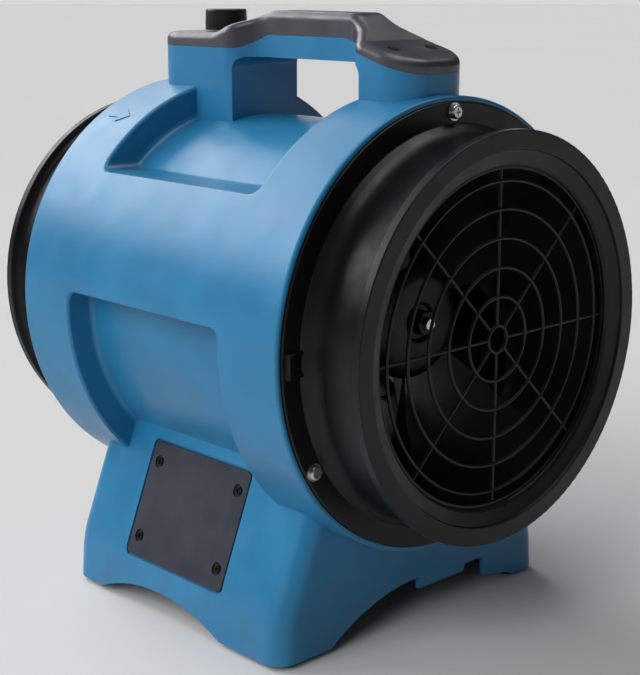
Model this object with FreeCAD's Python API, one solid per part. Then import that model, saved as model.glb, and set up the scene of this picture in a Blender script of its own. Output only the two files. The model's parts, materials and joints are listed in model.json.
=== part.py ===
import FreeCAD, Part
import math
import os

# Portable ducted axial blower.
# Frame: origin on the floor under the middle of the barrel, +Z up, the fan axis along Y,
# the outlet towards -Y, the inlet towards +Y, the left side towards -X. Millimetres.
V = FreeCAD.Vector
X_AXIS = V(1, 0, 0)
Y_AXIS = V(0, 1, 0)
Z_AXIS = V(0, 0, 1)

# Fan axis and clearances
AXIS_HEIGHT = 242.0
SEAT_GAP = 0.3
SCREW_GAP = 0.1
FIT_GAP = 0.05
REACH = 400.0

# Barrel
BARREL_RADIUS = 172.5
BARREL_HALF_LENGTH = 154.4
WALL = 4.0
RIM_WIDTH = 3.4
RIM_DEPTH = 2.0
RIM_ROUND = 2.2
END_WALL_BORE = 140.0
UPPER_POCKET_HALF_LENGTH = 93.0
UPPER_POCKET_FLOOR_RADIUS = 147.0
UPPER_POCKET_SILL = 107.0
LOWER_POCKET_HALF_LENGTH = 92.0
LOWER_POCKET_FLOOR_RADIUS = 148.5
LOWER_POCKET_CEILING = 15.0
POCKET_CORNER_ROUND = 9.0
POCKET_FLOOR_ROUND = 5.0
POCKET_RIM_ROUND = 2.5

# Base
PAD_HEIGHT = 4.0
BASE_HALF_WIDTH = 150.5
BASE_HALF_LENGTH = 130.0
BASE_TOP_HALF_WIDTH = 104.4
BASE_TOP_DROP = 90.0
BASE_KNEE_HALF_WIDTH = 148.0
BASE_KNEE_DROP = 202.0
BASE_KNEE_ROUND = 90.0
BASE_CORNER_ROUND = 17.0
FRONT_ARCH_HALF_WIDTH = 97.0
FRONT_ARCH_RISE = 31.0
SIDE_ARCH_FRONT = -62.0
SIDE_ARCH_REAR = 90.0
SIDE_ARCH_RISE = 16.5
FOOT_X = 129.0
FOOT_Y = 113.0
FOOT_RADIUS = 13.5
FOOT_BOSS_RADIUS = 7.0
FOOT_BOSS_TOP = 20.0
LEG_FLOOR_TOP = 9.0

# Side covers, in the plane of the sloping side wall
WALL_SLOPE = math.atan2(BASE_KNEE_HALF_WIDTH - BASE_TOP_HALF_WIDTH, BASE_KNEE_DROP - BASE_TOP_DROP)
COVER_CENTRE_X = 130.0
COVER_CENTRE_DROP = 155.6
COVER_RECESS_HALF = (61.0, 49.0)
COVER_HALF = (59.4, 47.4)
COVER_ROUND = 6.0
COVER_THICKNESS = 2.6
COVER_RECESS_DEPTH = 2.8
COVER_WINDOW_HALF = (42.0, 30.0)
COVER_FRAME_DEPTH = 10.0
COVER_SCREW_AT = (49.0, 31.0)
COVER_DIMPLE_RADIUS = 5.2
COVER_DIMPLE_DEPTH = 1.6

# Handle
HANDLE_HALF_WIDTH = 37.5
GRIP_HALF_WIDTH = 17.0
REAR_POST_FRONT = 50.0
REAR_POST_REAR = 149.0
FRONT_POST_FRONT = -143.0
FRONT_POST_REAR = -96.0
GRIP_UNDERSIDE = 194.0
HANDLE_ROOT = 118.0
COVER_SHELL = 3.0
COVER_RIM_ROUND = 6.5
COVER_LIP_GAP = 0.2
KNOB_Y = 98.5
PAD_SCREW_X = 20.0
PAD_SCREW_Y = -115.0
RIDGE_SCREW_Y = (22.0, -52.0)

# Duct collars
FLANGE_RADIUS = 168.5
FLANGE_THICKNESS = 4.0
NECK_RADIUS = 145.5
LIP_RADIUS = 152.5
COLLAR_END = 213.5
LIP_FACE_RADIUS = 138.5
LIP_STEP = 2.2
THROAT_RADIUS = 125.7
THROAT_AT = 205.0
SLEEVE_RADIUS = 134.6
SLEEVE_BORE = 130.9
CHANNEL_END = 206.5
COLLAR_WALL = 3.5
FLANGE_FLAT_RADIUS = 152.5
COLLAR_SCREW_RADIUS = 161.3
COLLAR_SCREW_ANGLES = (90.0, 210.0, 330.0)

# Grilles
GRILLE_RINGS = (31.3, 52.7, 74.0, 95.0, 115.5)
GRILLE_HUB_RADIUS = 10.0
GRILLE_WIRE_RADIUS = 1.35
GRILLE_SPOKES = 8
GRILLE_FRAME = (124.0, 130.4)
GRILLE_AT = 202.0

# Inner duct, motor and impeller
SHROUD_BORE = 127.3
SHROUD_OUTER = 130.4
SHROUD_HALF_LENGTH = 196.5
IMPELLER_TIP = 124.0
IMPELLER_HUB_RADIUS = 46.0
IMPELLER_FRONT = -128.0
IMPELLER_REAR = -76.0
IMPELLER_WEB_FRONT = 4.0
IMPELLER_WEB_REAR = 8.0
BLADE_COUNT = 5
BLADE_STATIONS = 4
BLADE_HALF_THICKNESS = 1.3
BLADE_ROOT_PITCH = 52.0
BLADE_TIP_PITCH = 27.0
BLADE_ROOT_CHORD = 60.0
BLADE_TIP_CHORD = 112.0
MOTOR_RADIUS = 58.0
MOTOR_FRONT = -62.0
MOTOR_REAR = 62.0
MOTOR_WALL = 2.5
CAP_THICKNESS = 8.0
SHAFT_RADIUS = 8.0
SHAFT_NOSE_RADIUS = 5.0
SHAFT_FRONT = -138.0
SHAFT_REAR = 72.0
BEARING_RADIUS = 20.0
BEARING_WIDTH = 12.0
ROTOR_RADIUS = 33.4
STATOR_BORE = 34.0
STATOR_OUTER = 45.0
STATOR_HALF_LENGTH = 30.0
BRACKET_ARM_ANGLES = (45.0, 135.0, 225.0, 315.0)
BRACKET_HALF_LENGTH = 14.0

# Knob
KNOB_RADIUS = 17.6
KNOB_HEIGHT = 17.0
KNOB_SHAFT_RADIUS = 3.0
KNOB_RIBS = 24
KNOB_RIB_GROOVE = 0.45
CONTROL_TOP = 208.8

# Base fittings
PAN_LEVEL = 42.0
PAN_THICKNESS = 3.0
PAN_HALF_WIDTH = 134.0
PAN_BOSS_X = 100.0
PAN_BOSS_Y = 92.0
GLAND_X = 75.0
GLAND_Z = 62.0
GLAND_RADIUS = 9.0
TERMINAL_BOX_AT = (-58.0, 0.0)
TERMINAL_BOX_HALF = (26.0, 40.0)
TERMINAL_BOX_HEIGHT = 24.0
CAPACITOR_X = 62.0

# Screws: shank radius, shank length, head radius, head height
COVER_SCREW = (2.0, 9.0, 3.7, 1.5)
COVER_SCREW_SEAT = -COVER_RECESS_DEPTH + COVER_THICKNESS - COVER_DIMPLE_DEPTH
FOOT_SCREW = (2.2, 14.0, 4.6, 2.4)
FOOT_SCREW_SEAT = 2.8
COLLAR_SCREW = (2.5, 14.0, 5.2, 3.0)
HOUSING_SCREW = (2.2, 22.0, 4.4, 2.6)
PAN_SCREW = (2.0, 12.0, 4.0, 2.2)
HANDLE_SCREW = (2.0, 14.0, 3.9, 2.2)
BRACKET_BOLT = (2.0, 7.5, 3.8, 2.2)
TIE_BOLT_RADIUS = 2.1
TIE_BOLT_CIRCLE = 50.0
TIE_BOLT_ANGLES = (0, 90, 180, 270)

# Threaded inserts and screw posts
INSERT_RADIUS = 4.5
INSERT_LENGTH = 11.0
INSERT_BOSS_RADIUS = 8.5
WASHER_THICKNESS = 1.2
WASHER_RADIUS = 6.6
HANDLE_WELL_RADIUS = 5.2
HANDLE_BOSS_RADIUS = 5.5
# Screws across the middle plane: y, z, and the y of the wall their post is webbed to
HOUSING_SCREW_POINTS = (
    (-116.0, 54.0, -128.0),
    (116.0, 54.0, 128.0),
    (-126.0, 420.0, -141.0),
    (132.0, 420.0, 147.0),
)


def at_axis(radius, angle_deg, y):
    """Point at a radius and an angle round the fan axis (0 = +X, 90 = up)."""
    angle = math.radians(angle_deg)
    return V(radius * math.cos(angle), y, AXIS_HEIGHT + radius * math.sin(angle))


def box(x0, x1, y0, y1, z0, z1):
    return Part.makeBox(x1 - x0, y1 - y0, z1 - z0, V(x0, y0, z0))


def rod(start, direction, radius, length):
    return Part.makeCylinder(radius, length, start, direction)


def axial_rod(radius, y0, y1, x=0.0, drop=0.0):
    return rod(V(x, y0, AXIS_HEIGHT - drop), Y_AXIS, radius, y1 - y0)


def tube(inner, outer, y0, y1):
    return axial_rod(outer, y0, y1).cut(axial_rod(inner, y0 - 1, y1 + 1))


def mirrored_in_x(shape):
    return shape.mirror(V(0, 0, 0), X_AXIS)


def mirrored_in_y(shape):
    return shape.mirror(V(0, 0, 0), Y_AXIS)


def joined(shapes):
    first, rest = shapes[0], list(shapes[1:])
    return first.fuse(rest).removeSplitter() if rest else first


def rounded_wire(corners):
    """Closed flat wire through (point, radius) corners, each rounded by a tangent arc."""
    edges = []
    ends = []
    count = len(corners)
    for index, (point, radius) in enumerate(corners):
        before = corners[index - 1][0]
        after = corners[(index + 1) % count][0]
        inward = (before - point).normalize()
        outward = (after - point).normalize()
        if radius <= 0:
            ends.append((point, point, None))
            continue
        half_angle = inward.getAngle(outward) / 2
        setback = radius / math.tan(half_angle)
        bisector = (inward + outward).normalize()
        centre = point + bisector * (radius / math.sin(half_angle))
        ends.append((point + inward * setback, point + outward * setback, centre - bisector * radius))
    for index, (start, finish, middle) in enumerate(ends):
        if middle is not None:
            edges.append(Part.Arc(start, middle, finish).toShape())
        following = ends[(index + 1) % count][0]
        if finish.distanceToPoint(following) > 1e-6:
            edges.append(Part.LineSegment(finish, following).toShape())
    return Part.Wire(edges)


def prism(corners, to_point, direction):
    """Straight prism: corners are (a, b, radius), to_point maps (a, b) to space."""
    wire = rounded_wire([(to_point(a, b), radius) for a, b, radius in corners])
    return Part.Face(wire).extrude(direction)


def turned(corners):
    """Solid of revolution about the fan axis: corners are (radius, y, round)."""
    wire = rounded_wire([(V(radius, y, AXIS_HEIGHT), rounding) for radius, y, rounding in corners])
    return Part.Face(wire).revolve(V(0, 0, AXIS_HEIGHT), Y_AXIS, 360)


def rounded_rectangle(half_a, half_b, radius):
    return [(-half_a, -half_b, radius), (half_a, -half_b, radius),
            (half_a, half_b, radius), (-half_a, half_b, radius)]


def hexagon(corner_radius, rounding=0):
    corners = []
    for index in range(6):
        angle = math.radians(60 * index)
        corners.append((corner_radius * math.cos(angle), corner_radius * math.sin(angle), rounding))
    return corners


def screw(seat, outward, shank_radius, length, head_radius, head_height):
    """Pan head screw with a cross recess; the head sits on the seat, the shank runs inward."""
    crown = head_radius * 0.25
    profile = [(V(0, 0, -length), 0), (V(shank_radius, 0, -length), shank_radius * 0.4),
               (V(shank_radius, 0, 0), 0), (V(head_radius, 0, 0), 0),
               (V(head_radius, 0, head_height), crown), (V(0, 0, head_height), 0)]
    body = Part.Face(rounded_wire(profile)).revolve(V(0, 0, 0), Z_AXIS, 360)
    slot_half = head_radius * 0.6
    slot_width = head_radius * 0.13
    slot_floor = head_height * 0.35
    for half_x, half_y in ((slot_half, slot_width), (slot_width, slot_half)):
        body = body.cut(box(-half_x, half_x, -half_y, half_y, slot_floor, head_height + 1))
    body.Placement = FreeCAD.Placement(seat, FreeCAD.Rotation(Z_AXIS, outward))
    return body


def screw_hole(seat, outward, shank_radius, length):
    start = seat + outward * 1.0
    return rod(start, outward * -1, shank_radius + SCREW_GAP, length + 2.0)


# ---------------------------------------------------------------- housing shell

def upper_pocket(growth):
    """Recess over the top of the barrel, down to a level sill on each side."""
    half_length = UPPER_POCKET_HALF_LENGTH + growth
    sill = AXIS_HEIGHT + UPPER_POCKET_SILL - growth
    block = box(-REACH / 2, REACH / 2, -half_length, half_length, sill, AXIS_HEIGHT + REACH / 2)
    return block.cut(axial_rod(UPPER_POCKET_FLOOR_RADIUS - growth, -half_length - 1, half_length + 1))


def lower_pocket(growth):
    """Recess below mid height on the left side, closed underneath by the base."""
    half_length = LOWER_POCKET_HALF_LENGTH + growth
    ceiling = AXIS_HEIGHT + LOWER_POCKET_CEILING + growth
    floor_radius = LOWER_POCKET_FLOOR_RADIUS - growth
    block = box(-REACH / 2, -70.0, -half_length, half_length, 40.0, ceiling)
    return block.cut(axial_rod(floor_radius, -half_length - 1, half_length + 1))


def rounded_pocket(cutter):
    """Pocket with its corners and its floor line rounded."""
    corners = [edge for edge in cutter.Edges if runs_outward(edge) and min_reach(edge) < 150]
    cutter = cutter.makeFillet(POCKET_CORNER_ROUND, corners)
    floor_line = [edge for edge in cutter.Edges if max_reach(edge) < 158 and not is_flat_seam(edge)]
    return cutter.makeFillet(POCKET_FLOOR_ROUND, floor_line)


def reaches(edge):
    """Distances of an edge's ends from the fan axis."""
    return [math.hypot(v.Point.x, v.Point.z - AXIS_HEIGHT) for v in edge.Vertexes]


def min_reach(edge):
    return min(reaches(edge))


def max_reach(edge):
    return max(reaches(edge))


def runs_outward(edge):
    """True for a straight level edge along X."""
    box_size = edge.BoundBox
    return box_size.XLength > 1 and box_size.YLength < 0.01 and box_size.ZLength < 0.01


def is_flat_seam(edge):
    """True for the line along the barrel where a full cylinder face begins."""
    return edge.BoundBox.XLength < 0.01 and abs(edge.Vertexes[0].Point.x) < 0.01


def is_pocket_rim(edge):
    """True for the edges where a pocket opens into the barrel's outer surface."""
    if is_flat_seam(edge):
        return False
    steps = 12
    span = edge.LastParameter - edge.FirstParameter
    for step in range(steps + 1):
        point = edge.valueAt(edge.FirstParameter + span * step / steps)
        off_surface = abs(math.hypot(point.x, point.z - AXIS_HEIGHT) - BARREL_RADIUS) > 0.05
        if off_surface or abs(point.y) > UPPER_POCKET_HALF_LENGTH + 2:
            return False
    return True


def barrel_outside():
    end = BARREL_HALF_LENGTH
    rim_inner = BARREL_RADIUS - RIM_WIDTH
    return turned([(0, -end + RIM_DEPTH, 0), (rim_inner, -end + RIM_DEPTH, 0), (rim_inner, -end, 0),
                   (BARREL_RADIUS, -end, RIM_ROUND), (BARREL_RADIUS, end, RIM_ROUND),
                   (rim_inner, end, 0), (rim_inner, end - RIM_DEPTH, 0), (0, end - RIM_DEPTH, 0)])


def barrel_inside():
    end = BARREL_HALF_LENGTH - RIM_DEPTH - WALL
    radius = BARREL_RADIUS - WALL
    past = BARREL_HALF_LENGTH + 5
    return turned([(0, -past, 0), (END_WALL_BORE, -past, 0), (END_WALL_BORE, -end, 0), (radius, -end, 6),
                   (radius, end, 6), (END_WALL_BORE, end, 0), (END_WALL_BORE, past, 0), (0, past, 0)])


def base_body(inset, bottom):
    """Base from its bottom up into the barrel, walls moved inward by inset."""
    slant = inset / math.cos(WALL_SLOPE)
    half_length = BASE_HALF_LENGTH - inset
    top = AXIS_HEIGHT - BASE_TOP_DROP - inset
    knee = AXIS_HEIGHT - BASE_KNEE_DROP
    top_half = BASE_TOP_HALF_WIDTH - slant + inset * math.tan(WALL_SLOPE)
    knee_half = BASE_KNEE_HALF_WIDTH - slant
    corners = [(-(BASE_HALF_WIDTH - inset), bottom, 0), (BASE_HALF_WIDTH - inset, bottom, 0),
               (knee_half, knee, BASE_KNEE_ROUND), (top_half, top, 0), (-top_half, top, 0),
               (-knee_half, knee, BASE_KNEE_ROUND)]
    body = prism(corners, lambda x, z: V(x, -half_length, z), Y_AXIS * (2 * half_length))
    rounding = BASE_CORNER_ROUND - inset
    uprights = [edge for edge in body.Edges if is_upright_corner(edge, half_length)]
    return body.makeFillet(rounding, uprights)


def is_upright_corner(edge, half_length):
    """True for the rising edges where a side wall meets the front or rear wall."""
    ends = [vertex.Point for vertex in edge.Vertexes]
    on_end_wall = all(abs(abs(point.y) - half_length) < 0.01 for point in ends)
    same_y = on_end_wall and abs(ends[0].y - ends[1].y) < 0.01
    return same_y and abs(ends[0].z - ends[1].z) > 1.0


def arch_prism(start, finish, rise, to_point, direction):
    """Prism under a circular arch that springs at pad height from start to finish."""
    middle = (start + finish) / 2
    arc = Part.Arc(to_point(start, PAD_HEIGHT), to_point(middle, PAD_HEIGHT + rise),
                   to_point(finish, PAD_HEIGHT)).toShape()
    below = PAD_HEIGHT - 20
    drop = [Part.LineSegment(to_point(finish, PAD_HEIGHT), to_point(finish, below)).toShape(),
            Part.LineSegment(to_point(finish, below), to_point(start, below)).toShape(),
            Part.LineSegment(to_point(start, below), to_point(start, PAD_HEIGHT)).toShape()]
    return Part.Face(Part.Wire([arc] + drop)).extrude(direction)


def underside_openings():
    """Arches under the base: a low one through both side walls, taller ones front and rear."""
    side = arch_prism(SIDE_ARCH_FRONT, SIDE_ARCH_REAR, SIDE_ARCH_RISE,
                      lambda y, z: V(-REACH / 2, y, z), X_AXIS * REACH)
    rear = arch_prism(-FRONT_ARCH_HALF_WIDTH, FRONT_ARCH_HALF_WIDTH, FRONT_ARCH_RISE,
                      lambda x, z: V(x, 0, z), Y_AXIS * (REACH / 2))
    front = arch_prism(-FRONT_ARCH_HALF_WIDTH, FRONT_ARCH_HALF_WIDTH, FRONT_ARCH_RISE,
                       lambda x, z: V(x, -REACH / 2, z), Y_AXIS * (REACH / 2))
    front_left = front.common(box(-REACH, 0, -REACH, 1, -50, 100))
    lip = 25.0
    notch = 31.0
    low = PAD_HEIGHT - 20
    front_right = prism([(0, low, 0), (118, low, 0), (118, PAD_HEIGHT, 0), (106, 9.0, 4), (80, 13.0, 3),
                         (77, notch, 2), (55, notch, 2), (53, lip, 2), (0, lip, 0)],
                        lambda x, z: V(x, -REACH / 2, z), Y_AXIS * (REACH / 2))
    return [side, rear, front_left, front_right]


def handle_outline(inset):
    """Plan of the handle: wide rounded pads at both ends, a narrow grip between."""
    wide = HANDLE_HALF_WIDTH - inset
    narrow = GRIP_HALF_WIDTH - inset
    front = FRONT_POST_FRONT + inset
    rear = REAR_POST_REAR - inset
    half = [(wide, front, 27 - inset), (wide, FRONT_POST_REAR + 4 - inset, 12 - inset),
            (narrow, FRONT_POST_REAR + 22 - inset, 16 + inset),
            (narrow, REAR_POST_FRONT - 16 + inset, 16 + inset),
            (wide, REAR_POST_FRONT + inset, 16 - inset), (wide, rear, 28 - inset)]
    return half + [(-x, y, radius) for x, y, radius in reversed(half)]


def seam_line(raise_by):
    """Side view line where the black cover meets the blue handle, rear to front."""
    return [(REAR_POST_REAR + 20, 201 + raise_by, 0), (46, 201 + raise_by, 10),
            (28, 211.5 + raise_by, 14), (-62, 211.5 + raise_by, 22),
            (-92, 202.5 + raise_by, 20), (FRONT_POST_FRONT - 20, 181.5 + raise_by, 0)]


def cover_top_line(lower_by):
    """Side view line along the top of the black cover, rear to front."""
    return [(REAR_POST_REAR + 20, 211.5 - lower_by, 0), (72, 213 - lower_by, 18),
            (26, 230.5 - lower_by, 22), (-70, 230 - lower_by, 16), (-98, 210 - lower_by, 8),
            (FRONT_POST_FRONT - 20, 192 - lower_by, 0)]


def side_view(line, floor_or_roof):
    """Closed side view between a line and a level, as (y, height above the axis, radius)."""
    return line + [(line[-1][0], floor_or_roof, 0), (line[0][0], floor_or_roof, 0)]


def side_prism(corners, half_width):
    return prism(corners, lambda y, rise: V(-half_width, y, AXIS_HEIGHT + rise), X_AXIS * (2 * half_width))


def plan_prism(inset, low, high):
    return prism(handle_outline(inset), lambda x, y: V(x, y, AXIS_HEIGHT + low), Z_AXIS * (high - low))


def post_hollow(front, rear, low, high):
    wide = HANDLE_HALF_WIDTH - WALL
    middle = (front + rear) / 2
    end_round = 24.0
    gap_round = 12.0
    front_round, rear_round = (end_round, gap_round) if middle < 0 else (gap_round, end_round)
    corners = [(-wide, front + WALL, front_round), (wide, front + WALL, front_round),
               (wide, rear - WALL, rear_round), (-wide, rear - WALL, rear_round)]
    return prism(corners, lambda x, y: V(x, y, AXIS_HEIGHT + low), Z_AXIS * (high - low))


def handle_outside():
    """Blue posts and lower half of the grip, up to the seam with the black cover."""
    below_seam = side_prism(side_view(seam_line(0), HANDLE_ROOT), 60)
    finger_gap = [(FRONT_POST_REAR, HANDLE_ROOT - 20, 0), (REAR_POST_FRONT, HANDLE_ROOT - 20, 0),
                  (REAR_POST_FRONT, GRIP_UNDERSIDE, 9), (FRONT_POST_REAR, GRIP_UNDERSIDE, 9)]
    return plan_prism(0, HANDLE_ROOT, 240).common(below_seam).cut(side_prism(finger_gap, 60))


def handle_inside():
    """Hollow of the two posts and the channel of the grip, open upward under the cover."""
    rear = post_hollow(REAR_POST_FRONT, REAR_POST_REAR, HANDLE_ROOT + 8, 240)
    front = post_hollow(FRONT_POST_FRONT, FRONT_POST_REAR, HANDLE_ROOT + 8, 240)
    channel = plan_prism(WALL, GRIP_UNDERSIDE + WALL, 240)
    return [rear, front, channel]


def on_side_wall(shape):
    """Move a shape drawn flat (a along Y, b up the slope, c outward) onto the left side wall."""
    up = V(math.sin(WALL_SLOPE), 0, math.cos(WALL_SLOPE))
    out = V(-math.cos(WALL_SLOPE), 0, math.sin(WALL_SLOPE))
    along = V(0, -1, 0)
    origin = V(-COVER_CENTRE_X, 0, AXIS_HEIGHT - COVER_CENTRE_DROP)
    matrix = FreeCAD.Matrix(along.x, up.x, out.x, origin.x, along.y, up.y, out.y, origin.y,
                            along.z, up.z, out.z, origin.z, 0, 0, 0, 1)
    moved = shape.copy()
    moved.Placement = FreeCAD.Placement(matrix).multiply(shape.Placement)
    return moved


def flat_plate(half, radius, low, high):
    outline = rounded_rectangle(half[0], half[1], radius)
    return prism(outline, lambda a, b: V(a, b, low), Z_AXIS * (high - low))


def cover_screw_points(c):
    along, up = COVER_SCREW_AT
    return [V(a, b, c) for a in (-along, along) for b in (-up, up)]


def side_cover():
    low = -COVER_RECESS_DEPTH
    plate = flat_plate(COVER_HALF, COVER_ROUND - 1, low, low + COVER_THICKNESS)
    plate = plate.makeFillet(0.8, [edge for edge in plate.Edges
                                   if all(v.Point.z > low + COVER_THICKNESS - 0.01 for v in edge.Vertexes)])
    for point in cover_screw_points(COVER_SCREW_SEAT):
        plate = plate.cut(rod(point, Z_AXIS, COVER_DIMPLE_RADIUS, 5))
        plate = plate.cut(screw_hole(point, Z_AXIS, COVER_SCREW[0], COVER_SCREW[1]))
    return on_side_wall(plate)


def side_cover_screws():
    return on_side_wall(Part.makeCompound([screw(point, Z_AXIS, *COVER_SCREW)
                                           for point in cover_screw_points(COVER_SCREW_SEAT)]))


def cover_frame():
    """Thicker wall behind the side cover, which its four screws bite into."""
    return on_side_wall(flat_plate(COVER_RECESS_HALF, COVER_ROUND, -COVER_FRAME_DEPTH, -1))


def cover_cut():
    recess = flat_plate(COVER_RECESS_HALF, COVER_ROUND, -COVER_RECESS_DEPTH, 12)
    window = flat_plate(COVER_WINDOW_HALF, COVER_ROUND, -COVER_FRAME_DEPTH - 12, 5)
    holes = [screw_hole(point, Z_AXIS, COVER_SCREW[0], COVER_SCREW[1])
             for point in cover_screw_points(COVER_SCREW_SEAT)]
    return [on_side_wall(shape) for shape in [recess, window] + holes]


def foot_points(z):
    return [V(x, y, z) for x in (-FOOT_X, FOOT_X) for y in (-FOOT_Y, FOOT_Y)]


def collar_screw_seat(angle, side):
    """Under the washer, on the outer face of the flange; side is -1 outlet, +1 inlet."""
    return at_axis(COLLAR_SCREW_RADIUS, angle, side * (BARREL_HALF_LENGTH - RIM_DEPTH + FLANGE_THICKNESS))


def insert_bosses():
    bosses = []
    for side in (-1, 1):
        outer = side * (BARREL_HALF_LENGTH - RIM_DEPTH - 1)
        for angle in COLLAR_SCREW_ANGLES:
            root = at_axis(COLLAR_SCREW_RADIUS, angle, outer)
            bosses.append(rod(root, Y_AXIS * -side, INSERT_BOSS_RADIUS, INSERT_LENGTH + 5))
    return bosses


def insert_sockets():
    sockets = []
    for side in (-1, 1):
        outer = side * (BARREL_HALF_LENGTH - RIM_DEPTH)
        for angle in COLLAR_SCREW_ANGLES:
            mouth = at_axis(COLLAR_SCREW_RADIUS, angle, outer + side)
            sockets.append(rod(mouth, Y_AXIS * -side, INSERT_RADIUS + FIT_GAP, INSERT_LENGTH + 1.2))
            sockets.append(rod(mouth, Y_AXIS * -side, COLLAR_SCREW[0] + SCREW_GAP, INSERT_LENGTH + 4))
    return sockets


def handle_bosses():
    """Posts in the blue handle that the cover screws bite into, with webs to the walls."""
    bosses = []
    for x, y, floor, root in cover_screw_wells():
        top = AXIS_HEIGHT + root - COVER_LIP_GAP
        if x == 0:
            low = AXIS_HEIGHT + GRIP_UNDERSIDE + 1
            bosses.append(rod(V(x, y, low), Z_AXIS, HANDLE_BOSS_RADIUS, top - low))
        else:
            low = top - 22
            bosses.append(rod(V(x, y, low), Z_AXIS, HANDLE_BOSS_RADIUS, top - low))
            wall_x = math.copysign(HANDLE_HALF_WIDTH - 2, x)
            bosses.append(box(min(x, wall_x), max(x, wall_x), y - 1.5, y + 1.5, low, top - 2))
    return bosses


def pan_boss_points():
    return [(x, y) for x in (-PAN_BOSS_X, PAN_BOSS_X) for y in (-PAN_BOSS_Y, PAN_BOSS_Y)]


def threaded_inserts(side):
    inserts = []
    for angle in COLLAR_SCREW_ANGLES:
        face = at_axis(COLLAR_SCREW_RADIUS, angle, side * (BARREL_HALF_LENGTH - RIM_DEPTH - 0.1))
        sleeve = rod(face, Y_AXIS * -side, INSERT_RADIUS, INSERT_LENGTH)
        inserts.append(sleeve.cut(screw_hole(face, Y_AXIS * side, COLLAR_SCREW[0], INSERT_LENGTH + 2)))
    return Part.makeCompound(inserts)


def housing_shell():
    """The whole blue shell before it is split into halves."""
    left_lower = rounded_pocket(lower_pocket(0))
    pockets = [rounded_pocket(upper_pocket(0)), left_lower, mirrored_in_x(left_lower)]
    left_skin = lower_pocket(WALL)
    pocket_skins = [upper_pocket(WALL), left_skin, mirrored_in_x(left_skin)]
    outside = barrel_outside().cut(pockets)
    outside = outside.makeFillet(POCKET_RIM_ROUND, [edge for edge in outside.Edges if is_pocket_rim(edge)])
    outside = outside.fuse([base_body(0, PAD_HEIGHT), handle_outside()])
    base_hollow = base_body(WALL, LEG_FLOOR_TOP)
    hollow = barrel_inside().cut(pocket_skins).fuse([base_hollow] + handle_inside())
    shell = outside.cut(hollow)
    frame = cover_frame()
    foot_bosses = [rod(point, Z_AXIS, FOOT_BOSS_RADIUS, FOOT_BOSS_TOP - LEG_FLOOR_TOP + 1)
                   for point in foot_points(LEG_FLOOR_TOP - 1)]
    seam_bosses = [rod(V(-13, y, z), X_AXIS, 7.5, 26) for y, z, wall_y in HOUSING_SCREW_POINTS]
    seam_webs = [box(-13, 13, min(y, wall_y), max(y, wall_y), z - 4, z + 4)
                 for y, z, wall_y in HOUSING_SCREW_POINTS]
    inner = barrel_outside().fuse(base_body(0, PAD_HEIGHT))
    added = [shape.common(inner) for shape in insert_bosses()] + foot_bosses + seam_bosses + seam_webs
    added += pan_bosses() + handle_bosses()
    shell = shell.fuse([frame, mirrored_in_x(frame)] + added)
    cuts = underside_openings() + insert_sockets()
    for shape in cover_cut():
        cuts += [shape, mirrored_in_x(shape)]
    cuts += [rod(point, Z_AXIS, FOOT_SCREW[0] + SCREW_GAP, FOOT_BOSS_TOP - 1) for point in foot_points(0)]
    cuts += [screw_hole(V(x, y, AXIS_HEIGHT + floor), Z_AXIS, HANDLE_SCREW[0], HANDLE_SCREW[1])
             for x, y, floor, root in cover_screw_wells()]
    cuts += [rod(V(x, y, PAN_LEVEL), Z_AXIS, PAN_SCREW[0] + SCREW_GAP, PAN_SCREW[1])
             for x, y in pan_boss_points()]
    for y, z, wall_y in HOUSING_SCREW_POINTS:
        cuts.append(screw_hole(V(13, y, z), X_AXIS, HOUSING_SCREW[0], HOUSING_SCREW[1]))
    cuts.append(rod(V(GLAND_X, BASE_HALF_LENGTH + 5, GLAND_Z), Y_AXIS * -1, GLAND_RADIUS + FIT_GAP, 20))
    return shell.cut(cuts)


def housing_half(shell, side):
    low, high = (-REACH, 0) if side < 0 else (0, REACH)
    return shell.common(box(low, high, -REACH, REACH, -50, 2 * REACH))


def housing_screws():
    seats = [V(13, y, z) for y, z, wall_y in HOUSING_SCREW_POINTS]
    return Part.makeCompound([screw(seat, X_AXIS, *HOUSING_SCREW) for seat in seats])


# ---------------------------------------------------------------- handle cover and knob

def cover_solid(inset):
    """Black cover as a solid, its top and sides moved inward by inset."""
    line = cover_top_line(inset)
    bottom = seam_line(COVER_LIP_GAP if inset == 0 else -20)
    profile = line + [(y, rise, radius) for y, rise, radius in reversed(bottom)]
    return plan_prism(inset, 150, 240).common(side_prism(profile, 60))


def handle_cover():
    cover = cover_solid(0)
    top_rim = [edge for edge in cover.Edges if is_cover_top_rim(edge)]
    cover = cover.makeFillet(COVER_RIM_ROUND, top_rim)
    cover = cover.cut(cover_solid(COVER_SHELL))
    wells = []
    bosses = []
    for x, y, floor, root in cover_screw_wells():
        level = AXIS_HEIGHT + floor
        bosses.append(rod(V(x, y, AXIS_HEIGHT + root), Z_AXIS, HANDLE_WELL_RADIUS + 2, 40))
        wells.append(rod(V(x, y, level), Z_AXIS, HANDLE_WELL_RADIUS, 30))
        wells.append(screw_hole(V(x, y, level), Z_AXIS, HANDLE_SCREW[0], HANDLE_SCREW[1]))
    outline = cover_solid(0.5)
    cover = cover.fuse([boss.common(outline) for boss in bosses])
    wells.append(rod(V(0, KNOB_Y, AXIS_HEIGHT + 190), Z_AXIS, KNOB_SHAFT_RADIUS + 2, 60))
    return cover.cut(wells)


def is_cover_top_rim(edge):
    """True for the edges between the cover's top and its side walls."""
    box_size = edge.BoundBox
    if box_size.XLength > 30 and box_size.YLength < 0.01:
        return False
    middle_y = (box_size.YMin + box_size.YMax) / 2
    low_point = box_size.ZMin - AXIS_HEIGHT
    return low_point > top_at(middle_y) - 7.5


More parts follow.
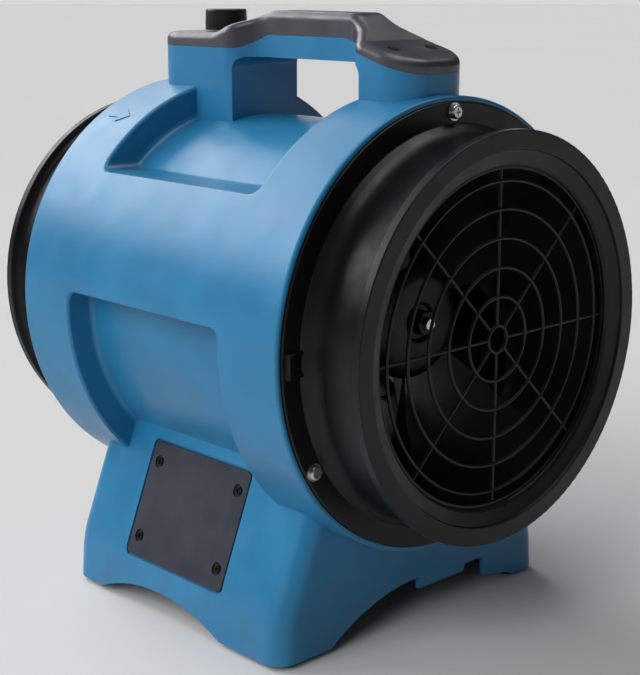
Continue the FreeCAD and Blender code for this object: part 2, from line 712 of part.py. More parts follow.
def top_at(y):
    """Rough height of the cover's top above the axis at a distance along the handle."""
    line = [(p[0], p[1]) for p in cover_top_line(0)]
    for (y0, z0), (y1, z1) in zip(line, line[1:]):
        if y1 <= y <= y0:
            return z0 + (z1 - z0) * (y0 - y) / (y0 - y1)
    return 0.0


def cover_screw_wells():
    """Screw wells of the cover: x, y, height of the screw seat and of the boss root."""
    pads = [(x, PAD_SCREW_Y, 200.0, 192.0) for x in (-PAD_SCREW_X, PAD_SCREW_X)]
    ridge = [(0.0, y, 219.0, 212.0) for y in RIDGE_SCREW_Y]
    return pads + ridge


def handle_cover_screws():
    return Part.makeCompound([screw(V(x, y, AXIS_HEIGHT + floor), Z_AXIS, *HANDLE_SCREW)
                              for x, y, floor, root in cover_screw_wells()])


def speed_knob():
    foot = AXIS_HEIGHT + 213.4
    top = foot + KNOB_HEIGHT
    profile = [(V(0, KNOB_Y, foot), 0), (V(KNOB_RADIUS, KNOB_Y, foot), 0.8),
               (V(KNOB_RADIUS - 0.6, KNOB_Y, top), 1.6), (V(0, KNOB_Y, top), 0)]
    body = Part.Face(rounded_wire(profile)).revolve(V(0, KNOB_Y, 0), Z_AXIS, 360)
    for index in range(KNOB_RIBS):
        angle = math.radians(360 / KNOB_RIBS * index)
        groove = rod(V(KNOB_RADIUS * math.cos(angle), KNOB_Y + KNOB_RADIUS * math.sin(angle), foot + 3),
                     Z_AXIS, KNOB_RIB_GROOVE, KNOB_HEIGHT)
        body = body.cut(groove)
    body = body.cut(box(-0.7, 0.7, KNOB_Y - KNOB_RADIUS, KNOB_Y - 5, top - 1, top + 20))
    body = body.cut(rod(V(0, KNOB_Y, foot - 1), Z_AXIS, 9.0, 5.5))
    return body.cut(rod(V(0, KNOB_Y, foot - 1), Z_AXIS, KNOB_SHAFT_RADIUS + FIT_GAP, 12))


def knob_shaft():
    return rod(V(0, KNOB_Y, AXIS_HEIGHT + CONTROL_TOP - 10), Z_AXIS, KNOB_SHAFT_RADIUS, 24.0)


def speed_control_body():
    """Rotary speed control under the rear pad: a case with a threaded bush."""
    top = AXIS_HEIGHT + CONTROL_TOP
    case = prism(rounded_rectangle(19, 19, 3), lambda x, y: V(x, y + KNOB_Y, top - 24), Z_AXIS * 24)
    bush = rod(V(0, KNOB_Y, top), Z_AXIS, 4.8, 7.6)
    return case.fuse(bush).cut(rod(V(0, KNOB_Y, top - 10.5), Z_AXIS, KNOB_SHAFT_RADIUS + FIT_GAP, 40))


def speed_control_nut():
    """Thin hexagon nut that clamps the bush to the cover, hidden in the knob's hollow."""
    low = AXIS_HEIGHT + CONTROL_TOP + 4.0
    nut = prism(hexagon(7.0), lambda x, y: V(x, y + KNOB_Y, low), Z_AXIS * 2.6)
    return nut.cut(rod(V(0, KNOB_Y, low - 1), Z_AXIS, 4.8 + FIT_GAP, 6))


# ---------------------------------------------------------------- duct collars and grilles

def collar():
    """Outlet collar: bolted flange, waisted neck, duct lip, bellmouth and inner sleeve."""
    seat = -(BARREL_HALF_LENGTH - RIM_DEPTH) - FIT_GAP
    face = seat + FIT_GAP - FLANGE_THICKNESS
    inner_wall = NECK_RADIUS - COLLAR_WALL
    profile = [(FLANGE_RADIUS, seat, 0.8), (FLANGE_RADIUS, face, 1.2), (FLANGE_FLAT_RADIUS, face, 1.5),
               (NECK_RADIUS, face - 9.0, 18.0), (NECK_RADIUS, -203.0, 6.0), (LIP_RADIUS, -206.5, 1.0),
               (LIP_RADIUS, -COLLAR_END, 0.9), (LIP_FACE_RADIUS, -COLLAR_END, 1.0),
               (LIP_FACE_RADIUS - 0.4, -COLLAR_END + LIP_STEP, 0.8),
               (THROAT_RADIUS + 1, -207.5, 4.0), (THROAT_RADIUS, -THROAT_AT + 0.2, 0.6),
               (SLEEVE_BORE, -THROAT_AT + 0.2, 0), (SLEEVE_BORE, -160.0, 0.8),
               (SLEEVE_RADIUS, -160.0, 0.8), (SLEEVE_RADIUS, -CHANNEL_END, 2.0),
               (inner_wall, -CHANNEL_END, 2.0), (inner_wall, face - 4.0, 10.0), (NECK_RADIUS + 3, seat, 0)]
    body = turned(profile)
    holes = [screw_hole(collar_screw_seat(angle, -1), V(0, -1, 0), COLLAR_SCREW[0], 12)
             for angle in COLLAR_SCREW_ANGLES]
    return body.cut(holes).fuse(clamp_tab())


def clamp_tab():
    """Small raised block on the flange at mid height, with a notch beside it."""
    face = -(BARREL_HALF_LENGTH - RIM_DEPTH) - FLANGE_THICKNESS
    reach = COLLAR_SCREW_RADIUS
    frame = box(-reach - 5, -reach + 14, face - 5.0, face + 0.5, AXIS_HEIGHT - 9, AXIS_HEIGHT + 9)
    hollow = box(-reach - 1, -reach + 20, face - 9.0, face - 1.0, AXIS_HEIGHT - 6, AXIS_HEIGHT + 6)
    frame = frame.makeFillet(1.0, [edge for edge in frame.Edges if edge.BoundBox.YMin < face - 4.9])
    inner_side = box(-reach + 1, -reach + 20, face - 9, face - 2, AXIS_HEIGHT - 20, AXIS_HEIGHT + 20)
    return frame.cut([hollow, inner_side])


def grille():
    """Outlet grille: round wire rings laid on slightly deeper spokes, inside a frame ring."""
    ring_y = -GRILLE_AT - 0.9
    spoke_y = -GRILLE_AT
    frame = tube(GRILLE_FRAME[0], GRILLE_FRAME[1], -GRILLE_AT - 2.6, -GRILLE_AT + 5.2)
    wires = []
    for radius in (GRILLE_HUB_RADIUS,) + GRILLE_RINGS:
        profile = Part.makeCircle(GRILLE_WIRE_RADIUS, V(radius, ring_y, AXIS_HEIGHT), Z_AXIS)
        wires.append(Part.Face(Part.Wire([profile])).revolve(V(0, 0, AXIS_HEIGHT), Y_AXIS, 360))
    for index in range(GRILLE_SPOKES):
        angle = 360 / GRILLE_SPOKES * index
        start = at_axis(GRILLE_HUB_RADIUS, angle, spoke_y)
        reach = GRILLE_FRAME[0] + 2 - GRILLE_HUB_RADIUS
        wires.append(rod(start, outward_at(angle), GRILLE_WIRE_RADIUS, reach))
    web = frame
    for wire in wires:
        web = web.fuse(wire)
    return web


def collar_washers():
    washers = []
    for angle in COLLAR_SCREW_ANGLES:
        seat = collar_screw_seat(angle, -1)
        disc = rod(seat, V(0, -1, 0), WASHER_RADIUS, WASHER_THICKNESS)
        face = seat + V(0, -WASHER_THICKNESS, 0)
        washers.append(disc.cut(screw_hole(face, V(0, -1, 0), COLLAR_SCREW[0], 4)))
    return Part.makeCompound(washers)


def collar_screws():
    seats = [collar_screw_seat(angle, -1) + V(0, -WASHER_THICKNESS, 0) for angle in COLLAR_SCREW_ANGLES]
    return Part.makeCompound([screw(seat, V(0, -1, 0), *COLLAR_SCREW) for seat in seats])


# ---------------------------------------------------------------- inner duct, motor and impeller

def bracket_bolt_points():
    return [(angle, y) for angle in BRACKET_ARM_ANGLES for y in (-8.0, 8.0)]


def bracket_bolt_holes():
    return [screw_hole(at_axis(SHROUD_OUTER, angle, y), outward_at(angle), BRACKET_BOLT[0], BRACKET_BOLT[1])
            for angle, y in bracket_bolt_points()]


def outward_at(angle):
    return at_axis(1, angle, 0) - at_axis(0, angle, 0)


def fan_shroud():
    duct = tube(SHROUD_BORE, SHROUD_OUTER, -SHROUD_HALF_LENGTH, SHROUD_HALF_LENGTH)
    return duct.cut(bracket_bolt_holes())


def motor_bracket():
    """Cradle ring round the motor with four vanes out to feet on the duct."""
    inner = MOTOR_RADIUS + SEAT_GAP
    pieces = [tube(inner, inner + 4, -BRACKET_HALF_LENGTH, BRACKET_HALF_LENGTH)]
    foot_ring = tube(SHROUD_BORE - 3.3, SHROUD_BORE - SEAT_GAP, -BRACKET_HALF_LENGTH, BRACKET_HALF_LENGTH)
    for angle in BRACKET_ARM_ANGLES:
        vane = box(inner + 2, SHROUD_BORE - 2, -BRACKET_HALF_LENGTH, BRACKET_HALF_LENGTH, -1.6, 1.6)
        pad = box(SHROUD_BORE - 30, SHROUD_BORE + 5, -BRACKET_HALF_LENGTH, BRACKET_HALF_LENGTH, -14, 14)
        place = FreeCAD.Placement(V(0, 0, AXIS_HEIGHT), FreeCAD.Rotation(Y_AXIS, -angle))
        vane.Placement = place
        pad.Placement = place
        pieces += [vane, foot_ring.common(pad)]
    return joined(pieces).cut(bracket_bolt_holes())


def motor_bracket_bolts():
    seat = SHROUD_OUTER + FIT_GAP
    return Part.makeCompound([screw(at_axis(seat, angle, y), outward_at(angle), *BRACKET_BOLT)
                              for angle, y in bracket_bolt_points()])


def motor_casing():
    front = MOTOR_FRONT + CAP_THICKNESS
    rear = MOTOR_REAR - CAP_THICKNESS
    return tube(MOTOR_RADIUS - MOTOR_WALL, MOTOR_RADIUS, front, rear)


def motor_cap(side):
    """End cap with a bearing pocket on its inner face; side is -1 front, +1 rear."""
    outer = MOTOR_FRONT if side < 0 else MOTOR_REAR
    inner = outer - side * CAP_THICKNESS
    pocket_end = inner - side * 8.0
    profile = [(SHAFT_RADIUS + 1.0, outer, 0.5), (MOTOR_RADIUS, outer, 5.0), (MOTOR_RADIUS, inner, 0),
               (BEARING_RADIUS + 4.0, inner, 0), (BEARING_RADIUS + 4.0, pocket_end, 0.5),
               (BEARING_RADIUS + FIT_GAP, pocket_end, 0), (BEARING_RADIUS + FIT_GAP, outer - side * 4, 0),
               (SHAFT_RADIUS + 1.0, outer - side * 4, 0)]
    cap = turned(profile)
    hole_radius = TIE_BOLT_RADIUS + SCREW_GAP
    holes = [rod(at_axis(TIE_BOLT_CIRCLE, angle, outer + side), Y_AXIS * -side, hole_radius, 20)
             for angle in TIE_BOLT_ANGLES]
    return cap.cut(holes)


def motor_tie_bolts():
    length = MOTOR_REAR - MOTOR_FRONT - 0.5
    return Part.makeCompound([screw(at_axis(TIE_BOLT_CIRCLE, angle, MOTOR_FRONT), V(0, -1, 0),
                                    TIE_BOLT_RADIUS, length, 4.0, 2.6) for angle in TIE_BOLT_ANGLES])


def bearing(side):
    outer = MOTOR_FRONT + 4.1 if side < 0 else MOTOR_REAR - 4.1
    start = outer if side < 0 else outer - BEARING_WIDTH
    ring = tube(SHAFT_RADIUS + FIT_GAP, BEARING_RADIUS, start, start + BEARING_WIDTH)
    face = start if side < 0 else start + BEARING_WIDTH
    return ring.cut(tube(12.0, 16.0, face - 0.8, face + 0.8))


def stator_core():
    return tube(STATOR_BORE, STATOR_OUTER, -STATOR_HALF_LENGTH, STATOR_HALF_LENGTH)


def stator_windings():
    """Coil heads on both faces of the stator."""
    heads = []
    for side in (-1, 1):
        start, end = sorted((side * (STATOR_HALF_LENGTH + 0.1), side * (STATOR_HALF_LENGTH + 10)))
        heads.append(turned([(35.5, start, 2), (44.5, start, 2), (44.5, end, 3), (35.5, end, 3)]))
    return Part.makeCompound(heads)


def stator_band():
    """Pressed ring that seats the stator in the casing, cut away round the tie bolts."""
    band = tube(STATOR_OUTER + 0.2, MOTOR_RADIUS - MOTOR_WALL - SEAT_GAP, -20, 20)
    return band.cut([rod(at_axis(TIE_BOLT_CIRCLE, angle, -30), Y_AXIS, 3.2, 60)
                     for angle in TIE_BOLT_ANGLES])


def rotor_core():
    return tube(SHAFT_RADIUS + FIT_GAP, ROTOR_RADIUS, -STATOR_HALF_LENGTH, STATOR_HALF_LENGTH)


def motor_shaft():
    shoulder = IMPELLER_FRONT + IMPELLER_WEB_REAR + FIT_GAP
    return turned([(0, SHAFT_FRONT, 0), (SHAFT_NOSE_RADIUS, SHAFT_FRONT, 0.8),
                   (SHAFT_NOSE_RADIUS, shoulder, 0), (SHAFT_RADIUS, shoulder, 0),
                   (SHAFT_RADIUS, SHAFT_REAR, 0.8), (0, SHAFT_REAR, 0)])


def blade():
    """One twisted blade pointing along +X from the hub, cambered, thin at both edges."""
    sections = []
    root = IMPELLER_HUB_RADIUS - 3.0
    tip = IMPELLER_TIP + 6.0
    middle_y = (IMPELLER_FRONT + IMPELLER_REAR) / 2
    for index in range(BLADE_STATIONS):
        share = index / (BLADE_STATIONS - 1)
        radius = root + (tip - root) * share
        pitch = math.radians(BLADE_ROOT_PITCH + (BLADE_TIP_PITCH - BLADE_ROOT_PITCH) * share)
        chord = BLADE_ROOT_CHORD + (BLADE_TIP_CHORD - BLADE_ROOT_CHORD) * share
        camber = chord * 0.08
        outline = [(-chord / 2, 0), (0, camber + BLADE_HALF_THICKNESS),
                   (chord / 2, 0), (0, camber - BLADE_HALF_THICKNESS)]
        points = [V(radius, middle_y + along * math.sin(pitch) - bulge * math.cos(pitch),
                    AXIS_HEIGHT + along * math.cos(pitch) + bulge * math.sin(pitch))
                  for along, bulge in outline]
        upper = Part.Arc(points[0], points[1], points[2]).toShape()
        lower = Part.Arc(points[2], points[3], points[0]).toShape()
        sections.append(Part.Wire([upper, lower]))
    return Part.makeLoft(sections, True, False)


def impeller():
    """Moulded fan wheel: a cup shaped hub with a centre boss and twisted blades."""
    front, rear = IMPELLER_FRONT, IMPELLER_REAR
    hub = IMPELLER_HUB_RADIUS
    bore = SHAFT_RADIUS + FIT_GAP
    nose_bore = SHAFT_NOSE_RADIUS + FIT_GAP
    web_front = front + IMPELLER_WEB_FRONT
    web_rear = front + IMPELLER_WEB_REAR
    cup = turned([(bore, web_rear, 0), (bore, rear + 8, 0), (16, rear + 8, 1), (16, front + 12, 3),
                  (hub - 4, front + 12, 8), (hub - 4, rear, 0), (hub, rear, 0), (hub, front, 14),
                  (14, front, 3), (14, web_front, 1), (nose_bore, web_front, 0), (nose_bore, web_rear, 0)])
    rim = axial_rod(IMPELLER_TIP, front - 60, rear + 60)
    one = blade().common(rim).cut(axial_rod(hub - 2, front - 80, rear + 80))
    blades = [one.rotated(V(0, 0, AXIS_HEIGHT), Y_AXIS, 360 / BLADE_COUNT * index + 18)
              for index in range(BLADE_COUNT)]
    return cup.fuse(blades)


def impeller_washer():
    face = IMPELLER_FRONT + IMPELLER_WEB_FRONT
    return tube(SHAFT_NOSE_RADIUS + FIT_GAP, 12.0, face - 2.0, face)


def impeller_nut():
    """Hexagon lock nut on the threaded nose of the shaft."""
    face = IMPELLER_FRONT + IMPELLER_WEB_FRONT - 2.0
    body = prism(hexagon(9.8), lambda x, z: V(x, face - 8, AXIS_HEIGHT + z), Y_AXIS * 8)
    return body.cut(axial_rod(SHAFT_NOSE_RADIUS + FIT_GAP, face - 20, face + 20))


# ---------------------------------------------------------------- feet and base fittings

def rubber_feet():
    feet = []
    for point in foot_points(0):
        profile = [(V(0, 0, 0), 0), (V(FOOT_RADIUS - 1.5, 0, 0), 0.8), (V(FOOT_RADIUS, 0, PAD_HEIGHT), 0.3),
                   (V(0, 0, PAD_HEIGHT), 0)]
        puck = Part.Face(rounded_wire(profile)).revolve(V(0, 0, 0), Z_AXIS, 360)
        puck = puck.cut(rod(V(0, 0, -1), Z_AXIS, 5.4, FOOT_SCREW_SEAT + 1))
        puck = puck.cut(rod(V(0, 0, -1), Z_AXIS, FOOT_SCREW[0] + SCREW_GAP, 20))
        puck.translate(point)
        feet.append(puck)
    return Part.makeCompound(feet)


def foot_screws():
    return Part.makeCompound([screw(point, V(0, 0, -1), *FOOT_SCREW)
                              for point in foot_points(FOOT_SCREW_SEAT)])


def base_pan():
    """Plate that closes the base from below, above the arches."""
    half_length = BASE_HALF_LENGTH - WALL - 0.5
    corners = rounded_rectangle(PAN_HALF_WIDTH, half_length, BASE_CORNER_ROUND - WALL)
    pan = prism(corners, lambda x, y: V(x, y, PAN_LEVEL), Z_AXIS * PAN_THICKNESS)
    slots = [prism([(x - 3, -36, 3), (x + 3, -36, 3), (x + 3, 36, 3), (x - 3, 36, 3)],
                   lambda a, b: V(a, b, PAN_LEVEL - 1), Z_AXIS * 6) for x in range(-60, 61, 20)]
    holes = [rod(V(x, y, PAN_LEVEL - 1), Z_AXIS, PAN_SCREW[0] + SCREW_GAP, 8) for x, y in pan_boss_points()]
    return pan.cut(slots + holes)


def pan_bosses():
    """Posts that carry the pan, standing on the inside of the front and rear walls."""
    bosses = []
    for x, y in pan_boss_points():
        bosses.append(rod(V(x, y, PAN_LEVEL + PAN_THICKNESS), Z_AXIS, 6, 16))
        wall_y = math.copysign(BASE_HALF_LENGTH - 2, y)
        bosses.append(box(x - 2, x + 2, min(y, wall_y), max(y, wall_y), PAN_LEVEL + PAN_THICKNESS,
                          PAN_LEVEL + PAN_THICKNESS + 16))
    return bosses


def base_pan_screws():
    return Part.makeCompound([screw(V(x, y, PAN_LEVEL), V(0, 0, -1), *PAN_SCREW)
                              for x, y in pan_boss_points()])


def terminal_box_shape(low, high, inset):
    x, y = TERMINAL_BOX_AT
    corners = rounded_rectangle(TERMINAL_BOX_HALF[0] - inset, TERMINAL_BOX_HALF[1] - inset, 3)
    return prism(corners, lambda a, b: V(a + x, b + y, low), Z_AXIS * (high - low))


def terminal_box():
    low = PAN_LEVEL + PAN_THICKNESS
    return terminal_box_shape(low, low + TERMINAL_BOX_HEIGHT, 0).cut(
        terminal_box_shape(low + 2, low + TERMINAL_BOX_HEIGHT + 1, 2))


def terminal_box_lid():
    low = PAN_LEVEL + PAN_THICKNESS + TERMINAL_BOX_HEIGHT
    return terminal_box_shape(low, low + 2.5, 0)


def run_capacitor():
    """Motor run capacitor lying on the pan along the base."""
    centre = V(CAPACITOR_X, -38, PAN_LEVEL + PAN_THICKNESS + 19)
    can = rod(centre, Y_AXIS, 16, 70)
    return can.fuse([rod(centre + V(x, 70, 0), Y_AXIS, 2, 8) for x in (-7, 7)])


def capacitor_clip():
    centre = V(CAPACITOR_X, -12, PAN_LEVEL + PAN_THICKNESS + 19)
    ring = rod(centre, Y_AXIS, 18.5, 16).cut(rod(centre - V(0, 1, 0), Y_AXIS, 16.2, 18))
    low = PAN_LEVEL + PAN_THICKNESS
    feet = box(centre.x - 30, centre.x + 30, centre.y, centre.y + 16, low, low + 2.4)
    return ring.fuse(feet)


def cord_gland():
    """Hexagonal compression gland in the rear wall, where the mains cord enters."""
    wall = BASE_HALF_LENGTH
    start = V(GLAND_X, wall - WALL - 10, GLAND_Z)
    body = rod(start, Y_AXIS, GLAND_RADIUS, 14 + WALL)
    corners = hexagon(13.0, 1.0)
    nut = prism(corners, lambda x, z: V(GLAND_X + x, wall + 0.1, GLAND_Z + z), Y_AXIS * 6)
    lock = prism(corners, lambda x, z: V(GLAND_X + x, wall - WALL - 5.1, GLAND_Z + z), Y_AXIS * 5)
    dome_profile = [(V(GLAND_X, wall + 6, GLAND_Z), 0), (V(GLAND_X + 10.5, wall + 6, GLAND_Z), 0),
                    (V(GLAND_X + 8.5, wall + 16, GLAND_Z), 2.5), (V(GLAND_X, wall + 16, GLAND_Z), 0)]
    dome = Part.Face(rounded_wire(dome_profile)).revolve(V(GLAND_X, 0, GLAND_Z), Y_AXIS, 360)
    return body.fuse([nut, lock, dome]).cut(rod(start - V(0, 1, 0), Y_AXIS, 4.2, 60))


os.makedirs("parts", exist_ok=True)
whole_shell = housing_shell()
pieces = {
    "housing_left": housing_half(whole_shell, -1),
    "housing_right": housing_half(whole_shell, 1),
    "housing_screws": housing_screws(),
    "handle_cover": handle_cover(),
    "handle_cover_screws": handle_cover_screws(),
    "speed_knob": speed_knob(),
    "knob_shaft": knob_shaft(),
    "speed_control_body": speed_control_body(),
    "speed_control_nut": speed_control_nut(),
    "outlet_collar": collar(),
    "outlet_grille": grille(),
    "outlet_collar_washers": collar_washers(),
    "outlet_collar_screws": collar_screws(),
    "outlet_inserts": threaded_inserts(-1),
    "inlet_inserts": threaded_inserts(1),
    "side_cover_left": side_cover(),
    "side_cover_left_screws": side_cover_screws(),
    "fan_shroud": fan_shroud(),
    "motor_bracket": motor_bracket(),
    "motor_bracket_bolts": motor_bracket_bolts(),
    "motor_casing": motor_casing(),
    "motor_front_cap": motor_cap(-1),
    "motor_rear_cap": motor_cap(1),
    "motor_tie_bolts": motor_tie_bolts(),
    "front_bearing": bearing(-1),
    "rear_bearing": bearing(1),
    "stator_core": stator_core(),
    "stator_windings": stator_windings(),
    "stator_band": stator_band(),
    "rotor_core": rotor_core(),
    "motor_shaft": motor_shaft(),
    "impeller": impeller(),
    "impeller_washer": impeller_washer(),
    "impeller_nut": impeller_nut(),
    "rubber_feet": rubber_feet(),
    "foot_screws": foot_screws(),
    "base_pan": base_pan(),
    "base_pan_screws": base_pan_screws(),
    "terminal_box": terminal_box(),
    "terminal_box_lid": terminal_box_lid(),
    "run_capacitor": run_capacitor(),
    "capacitor_clip": capacitor_clip(),
    "cord_gland": cord_gland(),
}
for name in ("collar", "grille", "collar_washers", "collar_screws"):
    pieces["inlet_" + name] = mirrored_in_y(pieces["outlet_" + name])
for name in ("", "_screws"):
    pieces["side_cover_right" + name] = mirrored_in_x(pieces["side_cover_left" + name])
for node in pieces:
    pieces[node].exportStep("parts/" + node + ".step")
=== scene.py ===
import json
import math

import bmesh
import bpy
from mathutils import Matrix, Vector


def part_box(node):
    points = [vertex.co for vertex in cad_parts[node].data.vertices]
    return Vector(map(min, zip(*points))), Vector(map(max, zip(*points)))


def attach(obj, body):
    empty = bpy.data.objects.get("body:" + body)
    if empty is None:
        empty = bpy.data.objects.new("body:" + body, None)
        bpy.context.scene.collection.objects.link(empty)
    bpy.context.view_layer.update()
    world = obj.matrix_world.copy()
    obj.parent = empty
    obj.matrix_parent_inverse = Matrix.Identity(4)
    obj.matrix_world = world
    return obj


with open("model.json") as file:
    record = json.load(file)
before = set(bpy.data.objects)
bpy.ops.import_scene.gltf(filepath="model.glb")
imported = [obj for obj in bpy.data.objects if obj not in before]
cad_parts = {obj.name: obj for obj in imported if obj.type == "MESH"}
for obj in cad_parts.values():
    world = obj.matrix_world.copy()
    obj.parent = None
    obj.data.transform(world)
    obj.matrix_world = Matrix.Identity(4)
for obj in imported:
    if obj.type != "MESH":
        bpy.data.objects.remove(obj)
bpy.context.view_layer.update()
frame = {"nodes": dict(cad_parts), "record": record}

# ---------------------------------------------------------------- camera

CAMERA_AT = Vector((-0.8174, -0.8796, 0.4975))
CAMERA_TILT = math.radians(76.432)
CAMERA_TURN = math.radians(-43.406)
CAMERA_LENS = 79.5
CAMERA_SENSOR = 36.0
CAMERA_NEAR = 0.01
CAMERA_FAR = 200.0


def add_camera():
    data = bpy.data.cameras.new("camera")
    data.lens = CAMERA_LENS
    data.sensor_width = CAMERA_SENSOR
    data.clip_start = CAMERA_NEAR
    data.clip_end = CAMERA_FAR
    camera = bpy.data.objects.new("camera", data)
    camera.location = CAMERA_AT
    camera.rotation_euler = (CAMERA_TILT, 0, CAMERA_TURN)
    bpy.context.scene.collection.objects.link(camera)
    bpy.context.scene.camera = camera


# ---------------------------------------------------------------- light

AMBIENT_COLOUR = (0.96, 0.98, 1.0, 1.0)
AMBIENT_STRENGTH = 0.07
SUN_DISTANCE = 5.0

# Broad suns, left out of the gloss: where the light comes from, strength, angle across in degrees
SUNS = {
    "key": (Vector((-0.15, 0.72, 0.66)), 2.9, 58.0),
    "side": (Vector((-0.86, -0.04, 0.50)), 2.3, 50.0),
}

# Softboxes, seen only in the gloss: middle, aim point, width and height, brightness
SOFTBOXES = {
    "behind_left": (Vector((-0.825, 1.70, 1.46)), Vector((-0.825, 0.0, 1.46)), (2.15, 1.02), 5.6),
    "behind_right": (Vector((0.80, 1.70, 1.54)), Vector((0.80, 0.0, 1.54)), (1.10, 0.86), 3.0),
    "overhead": (Vector((0.30, -0.25, 1.90)), Vector((0.30, -0.25, 0.0)), (2.00, 0.70), 3.5),
    "horizon": (Vector((1.70, 1.85, 0.68)), Vector((0.0, 0.0, 0.46)), (1.60, 0.36), 1.3),
}


def place_light(name, data, source, target):
    """Links a light that stands at source and shines towards target."""
    light = bpy.data.objects.new(name, data)
    light.location = source
    light.rotation_mode = "QUATERNION"
    light.rotation_quaternion = (target - source).to_track_quat("-Z", "Y")
    bpy.context.scene.collection.objects.link(light)
    return light


def add_sun(name, source, strength, angle):
    data = bpy.data.lights.new(name, "SUN")
    data.energy = strength
    data.angle = math.radians(angle)
    light = place_light(name, data, source.normalized() * SUN_DISTANCE, Vector((0, 0, 0)))
    light.visible_glossy = False


def add_softbox(name, source, target, size, brightness):
    data = bpy.data.lights.new(name, "AREA")
    data.shape = "RECTANGLE"
    data.size, data.size_y = size
    data.energy = brightness * math.pi * size[0] * size[1]
    light = place_light(name, data, source, target)
    light.visible_camera = False
    light.visible_diffuse = False


def add_world():
    world = bpy.data.worlds.new("studio")
    world.use_nodes = True
    background = world.node_tree.nodes["Background"]
    background.inputs["Color"].default_value = AMBIENT_COLOUR
    background.inputs["Strength"].default_value = AMBIENT_STRENGTH
    bpy.context.scene.world = world


# ---------------------------------------------------------------- materials

class Finish:
    """A procedural material: textures in the object's own metres, wired to one surface shader."""

    def __init__(self, name, roughness, metallic=0.0, **sockets):
        self.material = bpy.data.materials.new(name)
        self.material.use_nodes = True
        self.tree = self.material.node_tree
        self.surface = self.tree.nodes["Principled BSDF"]
        self.surface.inputs["Metallic"].default_value = metallic
        self.surface.inputs["Roughness"].default_value = roughness
        for socket, value in sockets.items():
            self.surface.inputs[socket.replace("_", " ")].default_value = value
        self.place = self.tree.nodes.new("ShaderNodeTexCoord").outputs["Object"]
        self.normal = None

    def add(self, kind, **settings):
        node = self.tree.nodes.new(kind)
        for key, value in settings.items():
            setattr(node, key, value)
        return node

    def wire(self, source, socket):
        self.tree.links.new(source, socket)

    def stretched(self, scale):
        """The object's coordinates with each axis scaled, for marks that run one way."""
        mapping = self.add("ShaderNodeMapping")
        mapping.inputs["Scale"].default_value = scale
        self.wire(self.place, mapping.inputs["Vector"])
        return mapping.outputs["Vector"]

    def noise(self, grain, detail=2.0, distortion=0.0, stretch=None):
        """Noise whose features are about grain metres across, from 0 to 1."""
        texture = self.add("ShaderNodeTexNoise")
        texture.inputs["Scale"].default_value = 1.0 / grain
        texture.inputs["Detail"].default_value = detail
        texture.inputs["Distortion"].default_value = distortion
        self.wire(self.stretched(stretch) if stretch else self.place, texture.inputs["Vector"])
        return texture.outputs["Fac"]

    def cells(self, size):
        """Rounded cells about size metres across, lowest in their middles."""
        texture = self.add("ShaderNodeTexVoronoi", feature="F1")
        texture.inputs["Scale"].default_value = 1.0 / size
        self.wire(self.place, texture.inputs["Vector"])
        return texture.outputs["Distance"]

    def waves(self, density, distortion=0.0, **settings):
        """Even bands or rings; density is the wave texture's own scale."""
        texture = self.add("ShaderNodeTexWave", **settings)
        texture.inputs["Scale"].default_value = density
        texture.inputs["Distortion"].default_value = distortion
        self.wire(self.place, texture.inputs["Vector"])
        return texture.outputs["Fac"]

    def height_above_floor(self):
        split = self.add("ShaderNodeSeparateXYZ")
        self.wire(self.place, split.inputs["Vector"])
        return split.outputs["Z"]

    def remap(self, value, span, result):
        """Value from the span to the result's two ends, held beyond them."""
        node = self.add("ShaderNodeMapRange", interpolation_type="SMOOTHSTEP")
        for socket, number in zip(("From Min", "From Max", "To Min", "To Max"), (*span, *result)):
            node.inputs[socket].default_value = number
        self.wire(value, node.inputs["Value"])
        return node.outputs["Result"]

    def multiply(self, first, second):
        node = self.add("ShaderNodeMath", operation="MULTIPLY")
        self.wire(first, node.inputs[0])
        self.wire(second, node.inputs[1])
        return node.outputs["Value"]

    def mix(self, share, under, over):
        """Two colours, plain or already textured, with share of the second."""
        node = self.add("ShaderNodeMix", data_type="RGBA")
        colours = [socket for socket in node.inputs if socket.type == "RGBA"]
        self.wire(share, node.inputs[0])
        for socket, colour in zip(colours, (under, over)):
            if isinstance(colour, tuple):
                socket.default_value = (*colour, 1.0)
            else:
                self.wire(colour, socket)
        return [socket for socket in node.outputs if socket.type == "RGBA"][0]

    def patches(self, under, over, span, most=1.0, **texture):
        """Patches of the colour over, up to most of it, where the noise is high in its span."""
        return self.mix(self.remap(self.noise(**texture), span, (0.0, most)), under, over)

    def bump(self, height, depth):
        """Adds relief of depth metres, on top of any relief already there."""
        node = self.add("ShaderNodeBump")
        node.inputs["Distance"].default_value = depth
        self.wire(height, node.inputs["Height"])
        if self.normal is not None:
            self.wire(self.normal, node.inputs["Normal"])
        self.normal = node.outputs["Normal"]

    def pebble(self, grain, depth, detail=2.0):
        self.bump(self.noise(grain, detail), depth)

    def done(self, colour, roughness=None):
        self.wire(colour, self.surface.inputs["Base Color"])
        if roughness is not None:
            self.wire(roughness, self.surface.inputs["Roughness"])
        if self.normal is not None:
            self.wire(self.normal, self.surface.inputs["Normal"])
        return self.material


def shade(colour, factor):
    return tuple(channel * factor for channel in colour)


SHELL_BLUE = (0.0175, 0.158, 0.318)
SHELL_SPECKLE = (0.06, 0.21, 0.36)
SHELL_SCUFF = (0.10, 0.25, 0.39)
SHELL_GRIME = (0.05, 0.09, 0.12)
GRIME_HEIGHT = 0.10


